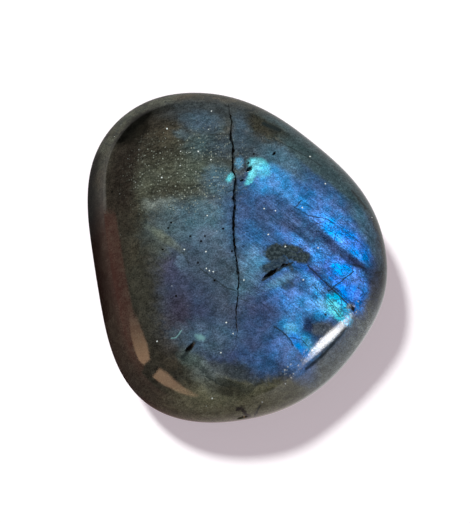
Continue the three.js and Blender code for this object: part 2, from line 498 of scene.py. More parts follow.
# Soft patches on the top, in the order in which they are laid: colour, x, y, half length, half
# width, turn in degrees, softness and strength
PATCHES = [
    # A dark strip down the left side: dark feldspar, and painted shade on that side
    ("brown black", -24, -6, 19, 4.2, -82, 0.4, 1),
    ("umber", -7, -29, 9, 2.4, -12, 0.6, 0.8),
    ("dark umber", -19, -19, 10, 4.6, -60, 0.5, 0.9),
    ("dark umber", -13, -22, 6, 4, -40, 0.7, 0.7),
    ("drab", 3, -27.8, 13, 3.8, 6, 0.5, 0.9),
    # Pale slate on the near right slope: partly the feldspar's tone and partly painted reflection of
    # the white table
    ("pale slate", 20, -17.6, 9.5, 3.6, 48, 0.5, 0.9),
    ("indigo", 24.2, -3.5, 8, 1.8, -84, 0.6, 0.8),
    ("graphite", -7, 24.4, 8.5, 3, 2, 0.5, 0.95),
    ("olive", -11, 11.2, 9.4, 7.2, 0, 0.6, 0.9),
    ("dark olive", -15, 15.8, 4.4, 2.2, 5, 0.8, 0.85),
    ("dark olive", -12.6, 8.8, 3.2, 1.3, 10, 0.8, 0.7),
    ("sage", -7, 12.6, 3, 2.6, 20, 0.8, 0.3),
    ("dark olive", -11.4, 21.6, 3, 1.1, -20, 0.8, 0.7),
    # Another dark strip on the left: dark feldspar and painted shade
    ("dark umber", -21.4, 6, 12, 3.4, 90, 0.5, 0.95),
    ("slate", -6, 21.8, 3.4, 2.1, -15, 0.7, 0.9),
    ("teal", -9.8, 19.6, 1.6, 0.8, -10, 0.8, 0.4),
    ("smoke", -3.3, 17.2, 2.8, 2.1, 0, 0.8, 0.9),
    ("sea green", -6.8, 17.4, 2.4, 2.2, 0, 0.8, 0.8),
    ("pale slate", -13.8, 6.2, 2.2, 1.2, 0, 0.8, 0.5),
    ("mist", -2.8, 5.6, 2.4, 2.2, 0, 0.8, 0.4),
    ("teal", -7.3, 1.8, 7, 4.6, 10, 0.7, 0.9),
    ("mist", -4.2, -0.8, 3.2, 2.4, 0, 0.8, 0.75),
    ("deep teal", -3.2, 10.6, 2.6, 2.6, 50, 0.8, 0.7),
    ("ash", -12.4, 0.6, 3.2, 3, -30, 0.8, 0.5),
    ("teal", -1.4, -1.6, 4.4, 2.6, 0, 0.8, 0.7),
    ("indigo", -7.6, -9.7, 6.8, 8, 0, 0.7, 1),
    ("dusk", -3.4, -13.6, 4, 4, 0, 0.8, 0.6),
    ("heather", -11.8, -6, 1.9, 2.4, 0, 0.8, 0.6),
    ("olive", -14.2, -1.6, 1.8, 2.6, 0, 0.8, 0.6),
    ("graphite", -14.2, -5.6, 1.8, 2.4, 0, 0.8, 0.6),
    ("mist", -9.9, -4.6, 0.9, 1.3, 0, 0.8, 0.6),
    ("plum", -10.2, -13, 2, 2.8, 10, 0.8, 0.8),
    ("slate", -6.3, -5.2, 3.2, 2, 0, 0.8, 0.6),
    ("slate", -3.4, -6.5, 3, 5.5, 0, 0.8, 0.5),
    ("navy", 1.5, -19.4, 8, 4.4, 0, 0.6, 0.8),
    ("blue", 5.2, -22.3, 4.6, 2.2, 8, 0.7, 0.8),
    ("blue", 11.3, 1.2, 13.3, 11, -38, 0.3, 1),
    ("blue", 11.1, -10.5, 9.7, 9.7, 0, 0.4, 1),
    ("slate", -1.8, -13.5, 2.5, 5.5, 0, 0.7, 0.4),
    ("teal", 1.6, -8, 2.2, 4.6, 0, 0.8, 0.7),
    ("smoke", 2.5, 16.6, 4, 2.8, 0, 0.7, 0.9),
    ("slate", 0.7, 20.6, 1.6, 3.2, 0, 0.8, 0.9),
    ("deep teal", 8.4, 14, 4, 2.6, -35, 0.7, 0.9),
    ("dark slate", 7.4, 2.8, 7, 2.6, -20, 0.7, 0.9),
    ("deep teal", 23.3, 2.2, 6.6, 1.4, -62, 0.6, 0.8),
    ("sea", 3.3, -4.6, 1.8, 2.6, 0, 0.7, 0.7),
    ("dusk", 4, -13, 3.6, 3.2, 0, 0.7, 0.8),
    ("dark slate", 3.4, -18, 3.2, 2.6, 0, 0.6, 0.7),
    ("teal", -4.8, -17.6, 4.6, 2.2, 0, 0.8, 0.5),
    ("slate", -4, -19.8, 2.8, 1.4, 0, 0.8, 0.8),
    ("sage", -7.4, -21.8, 2.4, 1.3, -30, 0.7, 0.6),
    ("graphite", -0.2, -23.6, 3.6, 1.5, -8, 0.7, 0.9),
    ("drab", 0.6, -28.4, 5, 1, 4, 0.6, 0.9),
    ("pale slate", -4.8, -24.6, 2.8, 2, -30, 0.8, 0.35),
    ("dark olive", -1.4, -26.6, 3.4, 1.1, -12, 0.7, 0.85),
    ("dark olive", -16.6, -9.2, 10, 2.8, -80, 0.8, 0.95),
]

# Brighter and darker flashes with crisper edges, laid over the patches in the same way: the flash is
# the stone's schiller as it shows from one side, painted into the colour as a fixed sheen
FLASHES = [
    ("sea green", 16.2, 14.4, 15, 3, -41, 0.2, 0.9),
    ("dark olive", 5.4, 21.4, 4.6, 1.5, -26, 0.5, 0.8),
    ("moss", -12.7, -0.1, 3.6, 0.7, -37, 0.7, 0.45),
    ("sky", 5, 10.4, 2.6, 1.9, -20, 0.7, 0.8),
    ("sky", 7.6, 11.8, 2.4, 1.1, -35, 0.7, 0.7),
    ("sky", 9.8, 8.2, 3.4, 1.6, -42, 0.6, 0.6),
    ("steel", 13.4, 6.4, 5.2, 1.6, -41, 0.7, 0.6),
    ("steel", 12.6, 4.6, 3, 0.8, -40, 0.5, 0.9),
    ("steel", 17.6, 2.9, 6, 1.9, -42, 0.7, 0.8),
    ("azure", 18.8, 0.2, 5.9, 1.5, -42, 0.3, 1),
    ("royal", 21.2, -0.8, 3.4, 1.3, -44, 0.5, 0.8),
    ("dark slate", 11.8, 1.6, 3.4, 0.9, -22, 0.6, 0.8),
    ("ink", 18.2, -2.2, 4.4, 1.1, -38, 0.5, 0.75),
    ("ink", 21.2, -4.4, 2.6, 0.7, -22, 0.5, 0.9),
    ("steel", 9.8, -0.5, 3.6, 1.1, -35, 0.6, 0.8),
    ("steel", 15.2, -3.8, 2.8, 1.9, -38, 0.3, 1),
    ("royal", 19.4, -7.2, 4.4, 2.5, -42, 0.3, 1),
    ("azure", 19.5, -6.3, 2.9, 1.2, -30, 0.35, 1),
    ("violet", 21.8, -7.4, 2.2, 1.3, -55, 0.6, 0.9),
    ("deep blue", 16, -5.3, 1.7, 0.7, -40, 0.6, 0.6),
    ("royal", 20.4, -10.2, 3, 1.8, -50, 0.4, 0.9),
    ("deep blue", 13.3, -7.1, 3.6, 1.4, -44, 0.5, 0.95),
    ("sky", 14.4, -9.2, 3.8, 1, -43, 0.5, 1),
    ("sky", 12.6, -11.8, 3, 1.3, -38, 0.6, 0.8),
    ("steel", 9.8, -11.2, 3.6, 2.1, -10, 0.5, 0.8),
    ("sky", 13.8, -12.5, 3.6, 1.5, -14, 0.5, 0.95),
    ("pale cyan", 15.8, -12.2, 1.7, 1, -30, 0.6, 0.7),
    ("cyan", 18.2, -12.2, 2.8, 1.5, -48, 0.3, 1),
    ("ice", 17.4, -12.5, 1.9, 1, -48, 0.5, 1),
    ("dust", 20.1, -11.7, 0.7, 0.5, 30, 0.6, 0.8),
    ("sea", 7.6, -8, 2.8, 0.8, 26, 0.6, 0.8),
    ("sky", 9.8, -15.4, 1.9, 2.2, 0, 0.6, 0.7),
    ("pale cyan", 9.5, -16.4, 1.1, 1.1, -30, 0.5, 0.5),
    ("granite", 15.1, -16, 2.3, 1.2, 8, 0.35, 0.9),
    ("ink", 12.5, -15.8, 0.9, 1.6, 0, 0.4, 0.85),
    ("steel", 8.4, -19.6, 2.8, 1.8, 0, 0.6, 0.8),
    # The hyacinth, sky and pale cyan patches here are partly the flash's blue and partly painted
    # highlight haze
    ("hyacinth", 10.6, -21.2, 3.6, 2.4, -40, 0.6, 0.95),
    ("sky", 12.4, -18.8, 2.2, 1.6, -40, 0.5, 0.9),
    ("azure", 11.2, -19, 2.6, 0.9, -45, 0.35, 1),
    ("pale cyan", 12.4, -18.7, 1.3, 0.9, -40, 0.6, 0.5),
    ("turquoise", 3.8, 13.6, 1.7, 1.3, -20, 0.35, 0.95),
    ("turquoise", 2.9, 11.8, 1.9, 0.7, 62, 0.4, 0.95),
    ("pale cyan", 4.8, 12.4, 1.2, 1.3, -30, 0.5, 0.9),
    ("turquoise", 2.3, 10.6, 1, 0.4, 55, 0.5, 0.8),
    ("turquoise", -1, 11.1, 0.9, 0.6, 45, 0.5, 0.9),
    ("sea", 0.5, 13.9, 0.8, 1.1, -20, 0.6, 0.8),
]

# Dark inclusions, laid over these in the same way, and mottled from soot to basalt
INCLUSIONS = [
    (7, -2.7, 2.3, 1.5, 20, 0.2, 1),
    (10.2, -3, 2.9, 1.4, -26, 0.2, 1),
    (6.8, -1.6, 0.9, 0.5, 60, 0.3, 1),
    (6.6, -4.9, 2.8, 1, 26, 0.3, 0.9),
    (9.2, -5.2, 1.6, 0.35, -70, 0.4, 0.8),
    (8.9, -8.6, 1.2, 0.9, 10, 0.5, 0.6),
]

# Cleavage cracks and dark veins on the top, and one painted dark reflection, as half width, strength
# and the places they join
CRACKS_AND_DARK_REFLECTION = [
    (0.30, 0.95, [(4.6, -7.8), (6.8, -6.3), (8.4, -5.3), (9.8, -4.6)]),
    (0.40, 0.9, [(-7.4, -18.8), (-8.4, -20.3), (-9.4, -21.3)]),
    (0.15, 0.85, [(12.5, -5.1), (15.9, -8.4), (19.6, -11.4)]),
    (0.12, 0.9, [(16.1, -9.6), (18.4, -7.7), (20.7, -5.8)]),
    (0.12, 0.6, [(17, -8.8), (20.3, -11)]),
    # Painted dark reflection: the dark line just outside the window highlight
    (0.28, 0.8, [(19.3, -15.3), (17.5, -17.6), (15.7, -19.6), (13.9, -21.2), (12.3, -22.5)]),
    (0.09, 0.7, [(13.4, 3.2), (17.6, 0.6), (21.9, -3.2)]),
    (0.09, 0.6, [(15.6, 4.4), (19.6, 1.6), (23, -1.4)]),
    (0.09, 0.7, [(13.4, -8.6), (16.2, -11.3), (18.2, -13.6)]),
    (0.14, 0.7, [(19, -10.6), (20.9, -11.2)]),
    (0.10, 0.6, [(15, -9.6), (17.4, -12), (18.6, -13.4)]),
    (0.16, 0.8, [(6.5, -16), (8.1, -17), (9.2, -18), (9.9, -19.1)]),
    (0.12, 0.7, [(9.3, -17.8), (11.3, -18), (12.5, -18.9)]),
    (0.25, 0.7, [(18.4, -3.1), (20, -4.5), (22.6, -4.9)]),
    (0.16, 0.6, [(10.2, 5.6), (12.6, 4.1), (16.1, 3.4), (21.6, -0.3)]),
    (0.16, 0.8, [(10.4, 5.5), (11.5, 6.8)]),
    (0.14, 0.6, [(5.9, 19.1), (11.5, 16.1), (15.4, 13.6)]),
    (0.14, 0.5, [(-5.3, -24.5), (-2.8, -25.9)]),
    (0.20, 0.8, [(3.2, -30.3), (3.7, -29.5), (4.2, -28.8)]),
    (0.30, 0.9, [(1.6, 25), (2.9, 24.9), (3.3, 26)]),
    (0.55, 0.95, [(5, 21.9), (7.6, 20.8)]),
    (0.35, 0.8, [(20.8, 9.4), (22.3, 7.7), (23.4, 6.4)]),
    (0.16, 0.5, [(-5.1, 19.3), (-3, 19.5), (-1.3, 19.5)]),
    (0.20, 0.5, [(-9.4, -2.8), (-8.9, -3.8), (-8.4, -4.6)]),
    (0.20, 0.7, [(24.9, -5.3), (26.4, -4.6)]),
    (0.16, 0.6, [(-6.4, -5.7), (-3.9, -7.7), (-1.6, -9.3), (-0.1, -9.7)]),
    (0.14, 0.5, [(0.3, -11.1), (2.2, -11.7)]),
    (0.25, 0.8, [(-8.2, 9), (-6.6, 9.8)]),
]

# Dark bands, as colour, half width, strength and the places they join: the stone's own dark marks, and
# painted shade with painted dark reflection along the left and far left shoulder
DARK_MARKS_AND_PAINTED_SHADE = [
    # The first six bands are painted shade and painted dark reflection along the left and far left
    # shoulder
    ("black", 2.3, 0.9, [(-24.8, -11.5), (-26.4, -3), (-27.2, 4), (-28, 11), (-26.6, 17)]),
    ("dark umber", 4.6, 0.75, [(-21.4, 13), (-18.8, 18.6), (-15.4, 21.6)]),
    ("brown black", 2.6, 0.55, [(-20.8, 8), (-20.6, 13), (-19.4, 17.6)]),
    ("black", 2.2, 0.8, [(-19.2, 20), (-17.2, 22.2)]),
    ("black", 1, 0.6, [(-17, 24), (-14.6, 25), (-11.8, 25.8)]),
    ("black", 1.5, 1, [(-21, 19.5), (-19.4, 21.9), (-16.6, 24.2)]),
    ("char", 0.5, 0.5, [(-10.6, -20.5), (-7, -22.6), (-3.4, -25.2), (1.7, -26.6), (4.4, -25)]),
    ("char", 0.6, 0.4, [(-0.7, 12.6), (-0.2, 9.9), (-0.4, 5.8), (-0.6, 2.6), (-0.3, -2), (0.3, -7.2)]),
    ("brown black", 0.4, 0.95, [(0.2, -29.6), (1.1, -29.4), (2.2, -30.6)]),
]

# A pale curved mark and a pale spot at the near left
PALE_CURVE = (0.11, 0.45, [(-11.4, -18), (-10.5, -17.9), (-9.6, -16.7)])
PALE_SPOT = (-6.3, -18, 0.9, 0.55, -30, 0.7, 0.5)

# The near right shoulder at the window highlight's end, where bright specks are strewn as painted
# glints
HIGHLIGHT_GLINT_EDGE = (1.1, 1, [(8.8, -23.4), (11.2, -21.6), (13.6, -19), (16.4, -16.6)])

# Single bright specks, painted glints, and dark pores on the top, as places of equal size
SPECK_SIZE = 0.12
SPECKS = [
    (-9.2, -2.2), (-5.3, -5.7), (-4.8, -6.1), (-4.1, -6.3), (1.3, -7.8), (-1.8, -15.4), (-0.6, -17.3),
    (-2.7, -20.6), (-13.9, -18.4), (-4.3, -28), (-5.4, -2.6), (5.6, 0.5), (11.7, -7.7), (2, 12.3),
    (4.5, -28.3), (13.3, 15.5), (15.9, 10.1), (14.4, -1.9), (8.6, -1.7), (24.5, 5), (20.9, -11.6),
    (21.6, -10.7), (11.7, 5.5), (4.9, 5.3), (6.9, 4.9), (-6.9, 16.1), (-4.6, 14.5), (-13.4, 11.2),
    (-5.2, 4), (21.3, -12.4), (10, -23.5), (9.6, -24.2), (8.6, -25.2), (-4.6, 24.4), (-12.6, 20.8),
]
PORE_SIZE = 0.2
PORES = [
    (-11.6, 2.7), (-12.1, 1.8), (-5.6, 0.2), (-3.9, -7.9), (-6.3, -0.7), (-13.1, -2.1), (-10.6, -10.6),
    (2.1, 13.9), (3.1, 15.6), (-2.4, 1.6), (-6.8, -4.6), (-8.2, 0.2), (-0.8, -2.6), (-22.5, 9.3),
]

# The lamellae run this way across the top, and the flash is streaked along them
LAMELLA_TURN = math.radians(-39)

# The ways in which the bright flash's blocks lie, and in which the tones look brushed
BLOCK_TURN = math.radians(-22)
BRUSH_TURN = math.radians(14)

# Fields of the top, as soft patches: the whole flash, its bright part and the grainy feldspar
FLASH_FIELD = (13.0, -3.5, 14.0, 14.0, 0, 0.35)
BRIGHT_FIELD = (17.5, -5.4, 12.0, 6.5, -66, 0.35)
GRAINY_FIELD = (-8.5, 12.5, 10.0, 8.0, 15, 0.5)

# How the edges of markings wander: the noise's detail and roughness, and its lengths and reaches in
# millimetres
WANDER_NOISE = (3.0, 0.6)
SLOW_WANDER = (3.0, 2.0)
QUICK_WANDER = (0.7, 0.9)
ROUGH_WANDER = (2.5, 2.5)
TORN_WANDER = (0.35, 0.5)
CRACK_WANDER = (0.8, 0.35)
SPECK_WANDER = (0.25, 0.3)
BROAD_WANDER = (4.0, 1.2)
BLOCK_WANDER = (1.4, 0.5)

# The fibres pull the edges of markings out along the lamellae, and less so those of the flashes
FIBRE_REACH = 3.0
FLASH_FEATHERING = 0.4

# How the fibres are stretched along the lamellae, and the blocks along the way they lie
FIBRE_STRETCH = (0.22, 1.8, 1.0)
BLOCK_STRETCH = (0.38, 1.0, 0.0)

# How the stone varies: a noise's scale per millimetre, or along each axis where it is stretched, its
# detail and roughness, the part of its range that counts, and what it gives at that part's two ends
VARIATIONS = {
    "feldspar tone": (0.14, 6.0, 0.65, 0.36, 0.66, 0.0, 1.0),
    "feldspar brown": (0.11, 4.0, 0.6, 0.48, 0.68, 0.0, 0.8),
    "cloud": (0.8, 6.0, 0.7, 0.28, 0.72, 0.64, 1.4),
    "streak": ((0.35, 3.6, 1.0), 4.0, 0.65, 0.3, 0.7, -0.3, 0.34),
    "broad": ((0.10, 0.75, 1.0), 3.0, 0.6, 0.35, 0.65, -0.2, 0.24),
    "brush": ((0.5, 3.0, 1.0), 3.0, 0.6, 0.3, 0.7, -0.2, 0.22),
    "grain": (4.2, 2.0, 0.75, 0.25, 0.75, -1.0, 1.0),
    "hue": (0.45, 3.0, 0.5, 0.2, 0.8, 0.486, 0.502),
    "mottle": (2.0, 4.0, 0.7, 0.42, 0.66, 0.0, 1.0),
    "net": (0.6, 2.0, 0.5, 0.4, 0.56, 0.0, 1.0),
    "hollow_darkening": (0.9, 3.0, 0.7, 0.4, 0.56, 0.5, 1.0),
}

# The noises of the fibres and of the plain feldspar's veins, as scale, detail and roughness, and how
# far from its middle value the second still makes a vein
FIBRE = (1.0, 5.0, 0.6)
FELDSPAR_VEINS = (0.22, 3.0, 0.5)
VEIN_REACH = 0.035
VEIN_STRENGTH = 0.6

# The part of the hue's noise that counts, with the saturation at its two ends
SATURATION_RANGE = (0.2, 0.8, 1.08, 0.92)

# How strong the grain is, how much stronger in the bright flash, and how much lighter all is there
GRAIN_STRENGTH = 0.5
GRAIN_IN_FLASH = 0.25
GLOW_IN_FLASH = 0.18

# How the blocks' tones are spread, and how wide and how strong the dark gaps between them are
BLOCK_RANGE = (0.0, 1.0, -0.2, 0.2)
BLOCK_GAP = 0.07
BLOCK_GAP_STRENGTH = 0.85

# Specks and sparkles strewn at random, the sparkles painted glints, as the length of a cell, their size
# in millimetres and the share of cells without one
DUST = (0.4, 0.16, 0.5)
SPARKLES = (0.9, 0.12, 0.6)
FEW_SPARKLES = (1.6, 0.09, 0.6)
# Painted glints along the window highlight's end
HIGHLIGHT_GLINTS = (0.5, 0.24, 0.55)
SPARKLE_CHOICE = 0.05

# The heights in millimetres between which the wall's plain feldspar gives way to the top's markings
TOP_START = 6.0
TOP_FULL = 11.0

# How far into a hollow the darkening towards black starts and where it is full, and the same for
# the roughness, with that of the polish and that in the hollows
HOLLOW_DARKENING_RANGE = (0.05, 0.6)
ROUGHNESS_RANGE = (0.0, 0.5, 0.06, 0.7)

# The polish's index of refraction and the fine relief in it, deeper in the flash
FELDSPAR_IOR = 1.56
RELIEF_DEPTH = 0.02 * MM
RELIEF_IN_FLASH = 2.0
RELIEF_STRENGTH = 0.5
STREAK_RELIEF = 0.6
GRAIN_RELIEF = 0.3

# How soft the edges of dots and lines are, as shares of their half width
DOT_SOFTNESS = 0.5
LINE_CORE = 0.3
LINE_EDGE = 1.3


def patch_share(graph, place, x, y, half_length, half_width, turn, softness, strength=1.0):
    """The share of one soft ellipse."""
    along = Vector((math.cos(math.radians(turn)), math.sin(math.radians(turn)), 0.0))
    across = Vector((-along.y, along.x, 0.0))
    return graph.group(
        graph.patch,
        Place=place,
        Centre=(x, y, 0.0),
        Along=along / half_length,
        Across=across / half_width,
        Softness=softness,
        Strength=strength,
    )


def line_share(graph, place, course):
    """The share of a line through several places."""
    half_width, strength, stops = course
    share = 0.0
    for (x, y), (next_x, next_y) in zip(stops, stops[1:]):
        part = graph.group(
            graph.line,
            Place=place,
            Start=(x, y, 0.0),
            Run=(next_x - x, next_y - y, 0.0),
            Half_width=half_width,
            Strength=strength,
        )
        share = graph.math("MAXIMUM", share, part)
    return share


def dot_share(graph, place, dots, size):
    """The share of many round dots of one size."""
    flat = graph.vector("MULTIPLY", place, (1.0, 1.0, 0.0))
    nearest = 2 * size
    for x, y in dots:
        nearest = graph.math("MINIMUM", nearest, graph.vector("DISTANCE", flat, (x, y, 0.0)))
    return graph.step(nearest, (1 - DOT_SOFTNESS) * size, (1 + DOT_SOFTNESS) * size, 1.0, 0.0)


def warp(graph, place, length, reach):
    """Pushes places about by soft noise of a given length, in millimetres."""
    drift = graph.noise(place, 1 / length, *WANDER_NOISE).outputs["Color"]
    parts = graph.add("SeparateColor", Color=drift).outputs
    drift = graph.add("CombineXYZ", X=parts[0], Y=parts[1], Z=parts[2]).outputs[0]
    centred = graph.vector("SUBTRACT", drift, (0.5, 0.5, 0.5))
    return graph.vector("ADD", place, graph.scaled(centred, reach))


def cell_specks(graph, place, length, size, threshold):
    """Round specks strewn at random: about one in each cell whose lot is above the threshold."""
    cells = graph.add("TexVoronoi", Vector=place, Scale=1 / length, Randomness=1.0)
    core = (1 - DOT_SOFTNESS) * size / length
    near = graph.step(cells.outputs["Distance"], core, size / length, 1.0, 0.0)
    lot = graph.add("SeparateColor", Color=cells.outputs["Color"])
    chosen = graph.step(lot.outputs[0], threshold, threshold + SPARKLE_CHOICE)
    weight = graph.times(chosen, lot.outputs[1])
    return graph.times(near, weight)


def variation(graph, place, name):
    """A noise, and what it gives over the part of its range that counts."""
    scale, detail, roughness, *counts = VARIATIONS[name]
    if isinstance(scale, tuple):
        place = graph.vector("MULTIPLY", place, scale)
        scale = 1.0
    fac = graph.noise(place, scale, detail, roughness).outputs["Fac"]
    return fac, graph.step(fac, *counts)


def body_colour(graph, place):
    """The dull feldspar of the walls and the underside: olive and grey, with dark veins."""
    rough = warp(graph, place, *ROUGH_WANDER)
    tone = variation(graph, rough, "feldspar tone")[1]
    colour = graph.lay(tone, linear(COLOURS["dark olive"]), "olive")
    browner = variation(graph, rough, "feldspar brown")[1]
    colour = graph.lay(browner, colour, "umber")
    crossing = graph.math("SUBTRACT", graph.noise(rough, *FELDSPAR_VEINS).outputs["Fac"], 0.5)
    darker = graph.step(graph.math("ABSOLUTE", crossing), 0.0, VEIN_REACH, VEIN_STRENGTH, 0.0)
    return graph.lay(darker, colour, "char")


def stone_places(graph):
    """Places on the stone in millimetres, plain, turned to the lamellae and pushed about."""
    metres = graph.add("TexCoord").outputs["Object"]
    place = graph.scaled(metres, 1 / MM)
    lamellar = graph.turned(place, LAMELLA_TURN)
    fibre_place = graph.vector("MULTIPLY", lamellar, FIBRE_STRETCH)
    fibre = graph.noise(fibre_place, *FIBRE).outputs["Fac"]
    pull = graph.times(graph.math("SUBTRACT", fibre, 0.5), FIBRE_REACH)
    pulled = graph.scaled((math.cos(LAMELLA_TURN), math.sin(LAMELLA_TURN), 0.0), pull)
    ragged = warp(graph, warp(graph, place, *SLOW_WANDER), *QUICK_WANDER)
    feathered = graph.vector("ADD", ragged, pulled)
    offset = graph.vector("SUBTRACT", feathered, place)
    crisp = graph.vector("ADD", place, graph.scaled(offset, FLASH_FEATHERING))
    return SimpleNamespace(
        plain=place, lamellar=lamellar, ragged=ragged, feathered=feathered, crisp=crisp
    )


def top_fields(graph, places):
    """Where the flash, its bright part and the grainy feldspar lie."""
    return SimpleNamespace(
        flash=patch_share(graph, places.ragged, *FLASH_FIELD),
        bright=patch_share(graph, places.feathered, *BRIGHT_FIELD),
        grainy=patch_share(graph, places.ragged, *GRAINY_FIELD),
    )


def lay_markings(graph, places, colour):
    """Lays the patches, the flashes, and the dark marks and painted shade of the bands over a colour.
    """
    for place, laid in ((places.feathered, PATCHES), (places.crisp, FLASHES)):
        for tint, *measures in laid:
            share = patch_share(graph, place, *measures)
            colour = graph.lay(share, colour, tint)
    for tint, *course in DARK_MARKS_AND_PAINTED_SHADE:
        share = line_share(graph, places.ragged, course)
        colour = graph.lay(share, colour, tint)
    return colour


def vary_tone(graph, places, fields, colour):
    """Streaks, clouds and grains a colour, and gives the relief that goes with them."""
    cloud = variation(graph, places.ragged, "cloud")[1]
    streak, streak_gain = variation(graph, places.lamellar, "streak")
    broad_gain = variation(graph, warp(graph, places.lamellar, *BROAD_WANDER), "broad")[1]
    brushed = graph.turned(warp(graph, places.plain, *ROUGH_WANDER), BRUSH_TURN)
    brush_gain = variation(graph, brushed, "brush")[1]
    grain, grain_gain = variation(graph, places.plain, "grain")
    grain_in_flash = graph.times(fields.bright, GRAIN_IN_FLASH)
    gains = (
        graph.times(fields.flash, streak_gain),
        graph.times(fields.flash, broad_gain),
        graph.times(grain_gain, graph.plus(GRAIN_STRENGTH, grain_in_flash)),
        graph.times(brush_gain, graph.plus(1.0, fields.grainy)),
        graph.times(fields.bright, GLOW_IN_FLASH),
    )
    value = cloud
    for gain in gains:
        value = graph.times(value, graph.plus(1.0, gain))
    tint, hue = variation(graph, places.plain, "hue")
    saturation = graph.step(tint, *SATURATION_RANGE)
    varied = graph.add(
        "HueSaturation", Hue=hue, Saturation=saturation, Value=value, Color=colour
    )
    streak_relief = graph.times(streak, STREAK_RELIEF)
    relief = graph.plus(streak_relief, graph.times(grain, GRAIN_RELIEF))
    return varied.outputs[0], relief


def lay_inclusions(graph, places, colour):
    """Lays the dark mottled inclusions over a colour."""
    mottle = variation(graph, places.plain, "mottle")[1]
    dark = graph.lay(mottle, linear(COLOURS["soot"]), "basalt")
    torn = warp(graph, places.ragged, *TORN_WANDER)
    inclusion = 0.0
    for measures in INCLUSIONS:
        inclusion = graph.math("MAXIMUM", inclusion, patch_share(graph, torn, *measures))
    return graph.blend(inclusion, colour, dark)


def break_into_blocks(graph, places, fields, colour):
    """Breaks the bright flash into blocks of uneven tone, with dark gaps here and there."""
    blocky = warp(graph, graph.turned(places.plain, BLOCK_TURN), *BLOCK_WANDER)
    cell_place = graph.vector("MULTIPLY", blocky, BLOCK_STRETCH)
    flat = {"voronoi_dimensions": "2D"}
    blocks = graph.add("TexVoronoi", flat, Vector=cell_place, Scale=1.0)
    flat["feature"] = "DISTANCE_TO_EDGE"
    edges = graph.add("TexVoronoi", flat, Vector=cell_place, Scale=1.0)
    lot = graph.add("SeparateColor", Color=blocks.outputs["Color"]).outputs[0]
    uneven = graph.times(fields.bright, graph.step(lot, *BLOCK_RANGE))
    lighter = graph.plus(1.0, uneven)
    colour = graph.add("HueSaturation", Value=lighter, Color=colour).outputs[0]
    gap = graph.step(edges.outputs["Distance"], 0.0, BLOCK_GAP, BLOCK_GAP_STRENGTH, 0.0)
    gap = graph.times(gap, variation(graph, places.plain, "net")[1])
    gap = graph.times(gap, fields.bright)
    return graph.lay(gap, colour, "navy")


def lay_cracks_and_dark_reflection(graph, places, colour):
    """Lays the crack lines, the painted dark reflection beside the window highlight, the pores, the
    pale curve and the pale spot over a colour.
    """
    near_place = warp(graph, places.plain, *CRACK_WANDER)
    crack_and_reflection_lines = 0.0
    for course in CRACKS_AND_DARK_REFLECTION:
        crack_and_reflection_lines = graph.math("MAXIMUM", crack_and_reflection_lines, line_share(graph, near_place, course))
    pores = dot_share(graph, near_place, PORES, PORE_SIZE)
    curve = line_share(graph, near_place, PALE_CURVE)
    spot = patch_share(graph, places.ragged, *PALE_SPOT)
    for share, tint in ((crack_and_reflection_lines, "char"), (pores, "black"), (curve, "mint"), (spot, "mint")):
        colour = graph.lay(share, colour, tint)
    return colour


def lay_sparkles(graph, places, fields, colour):
    """Strews dust-coloured specks and bright ones over a colour; the bright specks are painted glints.
    """
    place = warp(graph, places.plain, *SPECK_WANDER)
    dust = graph.times(cell_specks(graph, place, *DUST), fields.grainy)
    colour = graph.lay(dust, colour, "dust")
    # The band of painted glints along the window highlight's end
    glint_edge = line_share(graph, places.ragged, HIGHLIGHT_GLINT_EDGE)
    shares = (
        graph.times(cell_specks(graph, place, *SPARKLES), fields.grainy),
        cell_specks(graph, place, *FEW_SPARKLES),
        dot_share(graph, place, SPECKS, SPECK_SIZE),
        graph.times(cell_specks(graph, place, *HIGHLIGHT_GLINTS), glint_edge),
    )
    for share in shares:
        colour = graph.lay(share, colour, "speck")
    return colour


def finish_surface(graph, shader, places, fields, colour, relief):
    """Sets the polish, with the hollows darkened towards black and made rough."""
    hollow = graph.add("Attribute", {"attribute_name": "hollow"}).outputs["Fac"]
    hollow_darkening = variation(graph, places.plain, "hollow_darkening")[1]
    share = graph.times(graph.step(hollow, *HOLLOW_DARKENING_RANGE), hollow_darkening)
    graph.feed(shader.inputs["Base Color"], graph.lay(share, colour, "black"))
    graph.feed(shader.inputs["Roughness"], graph.step(hollow, *ROUGHNESS_RANGE))
    shader.inputs["IOR"].default_value = FELDSPAR_IOR
    deeper = graph.plus(graph.times(fields.flash, RELIEF_IN_FLASH), 1.0)
    depth = graph.times(deeper, RELIEF_DEPTH)
    bump = graph.add("Bump", Height=relief, Strength=RELIEF_STRENGTH, Distance=depth)
    graph.feed(shader.inputs["Normal"], bump.outputs[0])


def labradorite():
    material = bpy.data.materials.new("labradorite")
    material.use_nodes = True
    graph = Graph(material.node_tree)
    graph.patch = patch_group()
    graph.line = line_group()
    places = stone_places(graph)
    fields = top_fields(graph, places)
    body = body_colour(graph, places.plain)
    colour = lay_markings(graph, places, body)
    colour, relief = vary_tone(graph, places, fields, colour)
    colour = lay_inclusions(graph, places, colour)
    colour = break_into_blocks(graph, places, fields, colour)
    colour = lay_cracks_and_dark_reflection(graph, places, colour)
    colour = lay_sparkles(graph, places, fields, colour)
    height = graph.add("SeparateXYZ", Vector=places.plain).outputs["Z"]
    colour = graph.blend(graph.step(height, TOP_START, TOP_FULL), body, colour)
    shader = material.node_tree.nodes["Principled BSDF"]
    finish_surface(graph, shader, places, fields, colour, relief)
    return material


# How far a card stands from the stone's frame, in metres, and the degrees over which its edges fade
CARD_DISTANCE = 1.0
CARD_SOFTNESS = 2.0


def empty_material(name):
    """A material with nothing in it yet, as itself, its graph and the socket of its surface."""
    material = bpy.data.materials.new(name)
    material.use_nodes = True
    material.node_tree.nodes.clear()
    graph = Graph(material.node_tree)
    return material, graph, graph.add("OutputMaterial").inputs["Surface"]


